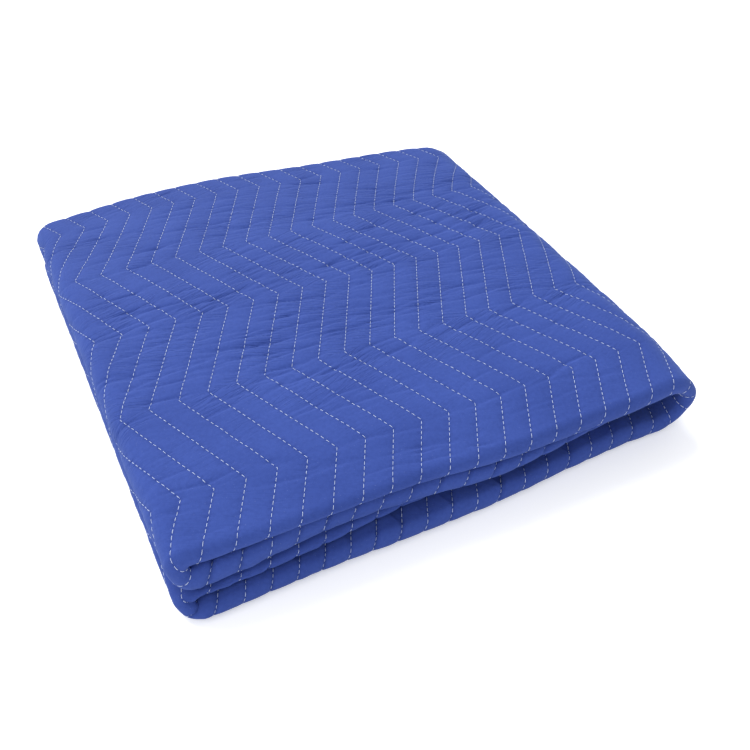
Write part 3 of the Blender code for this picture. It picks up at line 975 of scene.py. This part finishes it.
def wear_group():
    """Slight patches of fading and lint over a cloth."""
    tree, start, end = new_group(
        "fading and lint",
        [("Place", "NodeSocketVector", None), ("Size", "NodeSocketFloat", 14.0)],
        ["Fading", "Lint"],
    )
    cloud = noise_texture(tree, start["Place"], start["Size"], 3.0, (-500, 100))
    specks = noise_texture(tree, start["Place"], 950.0, 1.0, (-500, -200))
    ramp = shader_node(tree, "ShaderNodeValToRGB", (-250, -200), {"Fac": specks})
    ramp.color_ramp.elements[0].position = 0.72
    ramp.color_ramp.elements[1].position = 0.80
    feed(tree, end, {"Fading": cloud, "Lint": ramp.outputs["Color"]})
    return tree


def quilting_group():
    """How near a point of the cloth's map is to a stitch line, the puckers and short wrinkles."""
    tree, start, end = new_group(
        "quilting",
        [("Map", "NodeSocketVector", None), ("Row shift", "NodeSocketFloat", 0.0)],
        ["Near line", "Pucker", "Wrinkle"],
    )
    split = shader_node(tree, "ShaderNodeSeparateXYZ", (-800, 0), {0: start["Map"]})
    across = split.outputs["Y"]
    row = calculate(tree, "SUBTRACT", start["Row shift"], across, (-800, -200))
    row = calculate(tree, "DIVIDE", row, PITCH * HALF_PERIOD, (-650, -200))
    fold = calculate(tree, "PINGPONG", row, 1.0, (-500, -200))
    side = calculate(tree, "SUBTRACT", 1.0, fold, (-420, -200))
    side = calculate(tree, "MULTIPLY", side, ZIGZAG, (-350, -200))
    along = calculate(tree, "DIVIDE", split.outputs["X"], PITCH, (-500, 100))
    phase = calculate(tree, "SUBTRACT", along, side, (-200, 0))
    near = calculate(tree, "PINGPONG", phase, 0.5, (-50, 0))
    close = calculate(tree, "MULTIPLY", near, -22.0, (100, 0))
    mask = calculate(tree, "EXPONENT", close, None, (250, 0))
    beat = calculate(tree, "MULTIPLY", across, math.tau * 1.118 / STITCH_STEPS[0], (-200, -400))
    wave = calculate(tree, "SINE", beat, None, (-50, -400))
    soft = calculate(tree, "MULTIPLY", near, -9.0, (0, -300))
    soft = calculate(tree, "EXPONENT", soft, None, (100, -300))
    pucker = calculate(tree, "MULTIPLY", wave, soft, (300, -300))
    # short wrinkles lie straight from one stitch line to the next and lean with the zigzag
    leg = calculate(tree, "MULTIPLY", row, 0.5, (-500, -600))
    leg = calculate(tree, "FRACT", leg, None, (-350, -600))
    lean = calculate(tree, "LESS_THAN", leg, 0.5, (-275, -600))
    lean = calculate(tree, "SUBTRACT", lean, 0.5, (-200, -600))
    number = calculate(tree, "FLOOR", phase, None, (-50, -700))
    aside = calculate(tree, "FRACT", phase, None, (0, -600))
    aside = calculate(tree, "SUBTRACT", aside, 0.5, (100, -600))
    rise = calculate(tree, "MULTIPLY", lean, aside, (175, -600))
    rise = calculate(tree, "MULTIPLY", rise, 0.6 * PITCH, (250, -600))
    level = calculate(tree, "ADD", across, rise, (325, -600))
    level = calculate(tree, "DIVIDE", level, 0.0040, (400, -600))
    apart = calculate(tree, "MULTIPLY", number, 4.7, (250, -750))
    drift = calculate(tree, "MULTIPLY", aside, 0.5, (250, -850))
    strip = calculate(tree, "ADD", apart, drift, (400, -750))
    spot = shader_node(tree, "ShaderNodeCombineXYZ", (550, -650), {"X": strip, "Y": level})
    bend = noise_texture(tree, spot.outputs[0], 1.0, 1.0, (700, -650), noise_dimensions="2D")
    off = calculate(tree, "SUBTRACT", bend, 0.5, (775, -650))
    off = calculate(tree, "ABSOLUTE", off, None, (850, -650))
    off = calculate(tree, "DIVIDE", off, 0.085, (925, -650))
    sharp = calculate(tree, "SUBTRACT", 1.0, off, (1000, -650))
    sharp = calculate(tree, "MAXIMUM", sharp, 0.0, (1150, -650))
    patches = noise_texture(tree, start["Map"], 19.0, 1.0, (700, -900), noise_dimensions="2D")
    spread = ranged(tree, patches, 0.38, 0.62, (850, -900), kind="SMOOTHSTEP")
    front = ranged(tree, row, -3.8, -3.1, (850, -1100), (0.25, 1.0), "SMOOTHSTEP")
    share = calculate(tree, "MULTIPLY", spread, front, (1000, -900))
    wrinkle = calculate(tree, "MULTIPLY", sharp, share, (1300, -700))
    feed(tree, end, {"Near line": mask, "Pucker": pucker, "Wrinkle": wrinkle})
    return tree


WOVEN, WEAR, QUILTING = woven_group(), wear_group(), quilting_group()


def new_material(name, inputs):
    made = bpy.data.materials.new(name)
    made.use_nodes = True
    shader = made.node_tree.nodes["Principled BSDF"]
    feed(made.node_tree, shader, inputs)
    return made, made.node_tree, shader


def fabric(name, base, faded, deep, threads, slub, quilted):
    """A matte woven cloth in one dye, paler where it has faded. Quilted, it also gets painted shade
    along its stitch lines, partly the gathered cloth's own tone, and painted shade in its short
    wrinkles.
    """
    looks = {"Roughness": 0.82, "Specular IOR Level": 0.12, "Sheen Weight": 0.16}
    looks |= {"Sheen Roughness": 0.5, "Sheen Tint": (0.35, 0.52, 1.0, 1)}
    made, tree, shader = new_material(name, looks)
    places = shader_node(tree, "ShaderNodeTexCoord", (-1300, 0)).outputs
    inputs = {"Map": places["UV"], "Threads": threads, "Slub": slub}
    weave = use_group(tree, WOVEN, (-1000, 200), inputs)
    wear = use_group(tree, WEAR, (-1000, -50), {"Place": places["Object"]})
    spread = ranged(tree, wear["Fading"], 0.35, 0.68, (-800, -50))
    colour = blend_colour(tree, spread, base, faded, (-600, 0))
    shade = calculate(tree, "MULTIPLY", weave["Shade"], 0.22, (-600, 150))
    colour = blend_colour(tree, shade, colour, deep, (-450, 0))
    lint = calculate(tree, "MULTIPLY", wear["Lint"], 0.10, (-450, -150))
    colour = blend_colour(tree, lint, colour, (0.55, 0.62, 0.85), (-300, 0))
    height = calculate(tree, "MULTIPLY", weave["Height"], 0.10, (-600, -350))
    if quilted:
        inputs = {"Map": places["UV"], "Row shift": float(STARTS[OUTER] + BACK * PITCH)}
        sewn_in = use_group(tree, QUILTING, (-1000, -350), inputs)
        # painted shade in the grooves beside the stitch lines, partly the gathered cloth's own darker
        # tone: the cloth is blended toward its deep colour near each line
        dark = calculate(tree, "MULTIPLY", sewn_in["Near line"], 0.55, (-600, -200))
        colour = blend_colour(tree, dark, colour, deep, (-150, 0))
        pucker = calculate(tree, "MULTIPLY", sewn_in["Pucker"], 0.35, (-500, -350))
        height = calculate(tree, "ADD", height, pucker, (-400, -350))
        # painted shade in the short wrinkles' creases: the cloth is blended toward its deep colour
        # along each wrinkle line
        line = calculate(tree, "MULTIPLY", sewn_in["Wrinkle"], 0.16, (-600, -500))
        colour = blend_colour(tree, line, colour, deep, (-80, 100))
        sunk = calculate(tree, "MULTIPLY", sewn_in["Wrinkle"], 1.1, (-450, -500))
        height = calculate(tree, "SUBTRACT", height, sunk, (-330, -500))
    mottle = noise_texture(tree, places["Object"], 330.0, 2.0, (-1000, -850))
    fleck = ranged(tree, mottle, 0.40, 0.70, (-800, -850), (0.0, 0.22))
    colour = blend_colour(tree, fleck, colour, deep, (-40, 150))
    crumple = noise_texture(tree, places["Object"], 210.0, 3.0, (-1000, -600))
    crumple = calculate(tree, "MULTIPLY", crumple, 0.55, (-800, -600))
    height = calculate(tree, "ADD", height, crumple, (-250, -350))
    inputs = {"Strength": 0.5, "Distance": 0.0006, "Height": height}
    bump = shader_node(tree, "ShaderNodeBump", (-100, -350), inputs)
    feed(tree, shader, {"Base Color": colour, "Normal": bump.outputs["Normal"]})
    return made


def thread_finish():
    """White polyester thread, a little darker in its twist."""
    made, tree, shader = new_material("white thread", {"Roughness": 0.55, "Sheen Weight": 0.2})
    places = shader_node(tree, "ShaderNodeTexCoord", (-900, 0)).outputs
    wear = use_group(tree, WEAR, (-700, 0), {"Place": places["Object"], "Size": 60.0})
    twist = shader_node(tree, "ShaderNodeTexWave", (-700, -250), bands_direction="DIAGONAL")
    feed(tree, twist, {"Scale": 2.2, "Vector": places["UV"]})
    colour = blend_colour(tree, wear["Fading"], (0.66, 0.75, 0.92), (0.52, 0.61, 0.83), (-450, 0))
    dark = calculate(tree, "MULTIPLY", twist.outputs["Fac"], 0.15, (-450, -200))
    colour = blend_colour(tree, dark, colour, (0.50, 0.53, 0.72), (-250, 0))
    feed(tree, shader, {"Base Color": colour})
    return made


# name, colour, faded colour, deep colour (also that of the painted shade on the quilted cloth), thread
# spacing, slub, quilted or not
COTTON = ((0.0342, 0.0665, 0.290), (0.040, 0.0765, 0.321), (0.017, 0.036, 0.178), 0.0006, 0.4, True)
TAPE_CLOTH = ((0.028, 0.056, 0.245), (0.034, 0.065, 0.270), (0.014, 0.029, 0.150), 0.0009, 0.3, False)
cloth_finish = fabric("blue quilted cotton", *COTTON)
tape_finish = fabric("blue binding tape", *TAPE_CLOTH)
white_thread = thread_finish()
cloth.data.materials.append(cloth_finish)
for tape in tapes:
    tape.data.materials.append(tape_finish)
for piece in sewn:
    piece.data.materials.append(white_thread)


# Floor, light and camera


def make_floor():
    """A pale table, shown a little brighter than it lights, as on a light table."""
    bpy.ops.mesh.primitive_plane_add(size=14.0, location=(0, 0, 0))
    made = bpy.context.object
    made.name = "floor"
    looks = {"Base Color": (0.86, 0.86, 0.87, 1), "Roughness": 0.9, "Specular IOR Level": 0.1}
    looks["Emission Color"] = (0.97, 0.98, 1.0, 1)
    finish, tree, shader = new_material("pale floor", looks)
    seen = shader_node(tree, "ShaderNodeLightPath", (-500, -300))
    glow = calculate(tree, "MULTIPLY", seen.outputs["Is Camera Ray"], 0.36, (-300, -300))
    feed(tree, shader, {"Emission Strength": glow})
    made.data.materials.append(finish)


def make_world():
    """A white room: bright to the camera, dimmer as light."""
    world = bpy.data.worlds.new("white room")
    world.use_nodes = True
    tree = world.node_tree
    tree.nodes.clear()
    seen = shader_node(tree, "ShaderNodeLightPath", (-400, 200))
    light = {"Color": (0.97, 0.98, 1.0, 1), "Strength": 0.69}
    light = shader_node(tree, "ShaderNodeBackground", (-200, 0), light)
    shown = {"Color": (1, 1, 1, 1), "Strength": 1.0}
    shown = shader_node(tree, "ShaderNodeBackground", (-200, -150), shown)
    inputs = {0: seen.outputs["Is Camera Ray"], 1: light.outputs[0], 2: shown.outputs[0]}
    choose = shader_node(tree, "ShaderNodeMixShader", (0, 0), inputs)
    shader_node(tree, "ShaderNodeOutputWorld", (200, 0), {0: choose.outputs[0]})
    bpy.context.scene.world = world


def make_light(name, kind, at, target, **settings):
    data = bpy.data.lights.new(name, kind)
    for setting, value in settings.items():
        setattr(data, setting, value)
    made = bpy.data.objects.new(name, data)
    bpy.context.scene.collection.objects.link(made)
    made.location = at
    made.rotation_mode = "QUATERNION"
    made.rotation_quaternion = (Vector(target) - made.location).to_track_quat("-Z", "Y")


def make_lights():
    """Soft daylight from the back, a weak fill before the front folds, a window on the left."""
    sun = {"energy": 3.3, "angle": math.radians(45), "color": (1.0, 0.985, 0.96)}
    make_light("daylight", "SUN", (-0.4, 2.2, 2.0), (0, 0, 0), **sun)
    fill = {"shape": "RECTANGLE", "size": 2.4, "size_y": 0.9, "energy": 11.0}
    make_light("fill", "AREA", (-0.3, -2.1, 0.36), (0, -0.2, 0.02), **fill)
    window = {"shape": "RECTANGLE", "size": 1.2, "size_y": 0.9, "energy": 8.0}
    make_light("window", "AREA", (-1.5, -0.25, 1.05), (0, -0.05, 0.03), **window)


def make_camera():
    """The photograph's viewpoint: 30 pitches in front, 18 above the top, looking to the right."""
    data = bpy.data.cameras.new("camera")
    data.sensor_width = 36.0
    focal_share = 767.53 / 750.0  # focal length to the picture's width
    data.lens = data.sensor_width * focal_share
    data.clip_start, data.clip_end = 0.01, 50.0
    made = bpy.data.objects.new("camera", data)
    bpy.context.scene.collection.objects.link(made)
    at = Vector((0.91427, -30.74130, 18.35566)) * PITCH + Vector((0, 0, HEIGHT)) - CENTRE
    right = Vector((0.9040438, -0.4268699, 0.0220675))
    down = Vector((-0.2810587, -0.6325489, -0.7217256))
    ahead = Vector((0.3220417, 0.6462693, -0.6918274))
    turn = Matrix((right, -down, -ahead)).transposed().to_4x4()
    made.matrix_world = Matrix.Translation(at) @ turn
    bpy.context.scene.camera = made


make_floor()
make_world()
make_lights()
make_camera()
bpy.context.scene.view_settings.view_transform = "Standard"
bpy.context.scene.view_settings.look = "None"
